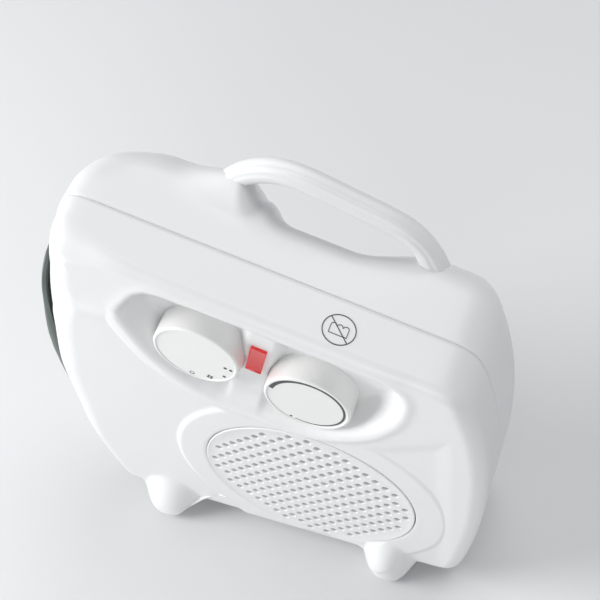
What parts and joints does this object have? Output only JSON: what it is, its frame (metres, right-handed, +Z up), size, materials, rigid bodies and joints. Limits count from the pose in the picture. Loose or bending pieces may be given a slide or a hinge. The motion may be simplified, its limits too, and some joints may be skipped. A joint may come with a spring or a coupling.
{
  "type": "ceramic space heater",
  "caption": "Compact upright fan heater with a sloping top, carry handle, round pierced outlet grille, two control knobs and an indicator lamp.",
  "frame": {"origin": "bottom centre of the overall box, on the surface that the feet stand on", "axes": "+Z up, +X to the right seen from the front, +Y to the back; warm air leaves along -Y"},
  "size_m": [0.257, 0.1, 0.2778],
  "materials": {
    "white_shell": "satin white moulded plastic",
    "white_grille": "satin white moulded plastic",
    "dark_intake": "dark grey-green ribbed plastic",
    "white_knob": "warm white plastic with grey marks",
    "shaft_plastic": "black plastic",
    "shaft_metal": "ground steel",
    "switch_plastic": "black phenolic",
    "brass_tabs": "tinned brass",
    "red_lens": "translucent red",
    "lamp_glass": "clear glass",
    "duct_plastic": "heat-resistant grey plastic",
    "frame_steel": "zinc-plated sheet",
    "fin_aluminium": "plain aluminium",
    "ceramic": "grey barium titanate ceramic, metallised",
    "electrode_steel": "plain strip",
    "cutout_case": "brown phenolic",
    "fuse_metal": "plain can",
    "fan_plastic": "black glass-filled plastic",
    "clip_steel": "spring steel",
    "rotor_metal": "laminated steel with aluminium cage",
    "stator_steel": "stacked laminations",
    "copper_coil": "enamelled copper wire",
    "bearing_bronze": "sintered bronze",
    "screw_steel": "zinc-plated steel",
    "gland_rubber": "white soft plastic",
    "terminal_nylon": "natural nylon",
    "wire_insulation": "blue PVC insulation"
  },
  "bodies": {
    "housing": {"front_shell": "white_shell", "rear_shell": "white_shell", "front_grille": "white_grille", "side_intake_grille": "dark_intake", "rear_intake_grille": "dark_intake", "function_switch": "switch_plastic", "thermostat_bimetal_switch": "switch_plastic", "function_terminals": "brass_tabs", "thermostat_terminals": "brass_tabs", "indicator_lens": "red_lens", "indicator_holder": "switch_plastic", "neon_lamp": "lamp_glass", "air_duct": "duct_plastic", "heater_frame": "frame_steel", "heater_fins": "fin_aluminium", "ceramic_stones": "ceramic", "electrode_plates": "electrode_steel", "thermal_cutout": "cutout_case", "thermal_fuse": "fuse_metal", "motor_stator": "stator_steel", "motor_coil": "copper_coil", "front_bearing": "bearing_bronze", "rear_bearing": "bearing_bronze", "front_bracket": "frame_steel", "rear_bracket": "frame_steel", "motor_mount": "frame_steel", "motor_screws": "screw_steel", "case_screws": "screw_steel", "cord_gland": "gland_rubber", "terminal_block": "terminal_nylon", "terminal_screws": "brass_tabs", "terminal_bracket": "duct_plastic", "wiring": "wire_insulation"},
    "function_knob": {"function_knob": "white_knob", "function_shaft": "shaft_plastic"},
    "thermostat_knob": {"thermostat_knob": "white_knob", "thermostat_shaft": "shaft_metal"},
    "fan": {"fan_impeller": "fan_plastic", "fan_clip": "clip_steel", "motor_shaft": "shaft_metal", "motor_rotor": "rotor_metal"}
  },
  "joints": [
    {"name": "function_turn", "type": "hinge", "parent": "housing", "child": "function_knob", "pos_m": [-0.0189, -0.025, 0.1987], "axis": [0, 1, 0], "range_deg": [0, 90]},
    {"name": "thermostat_turn", "type": "hinge", "parent": "housing", "child": "thermostat_knob", "pos_m": [0.0373, -0.025, 0.1782], "axis": [0, 1, 0], "range_deg": [0, 270]},
    {"name": "fan_spin", "type": "hinge", "parent": "housing", "child": "fan", "pos_m": [0.028, 0, 0.081], "axis": [0, 1, 0], "continuous": true}
  ]
}
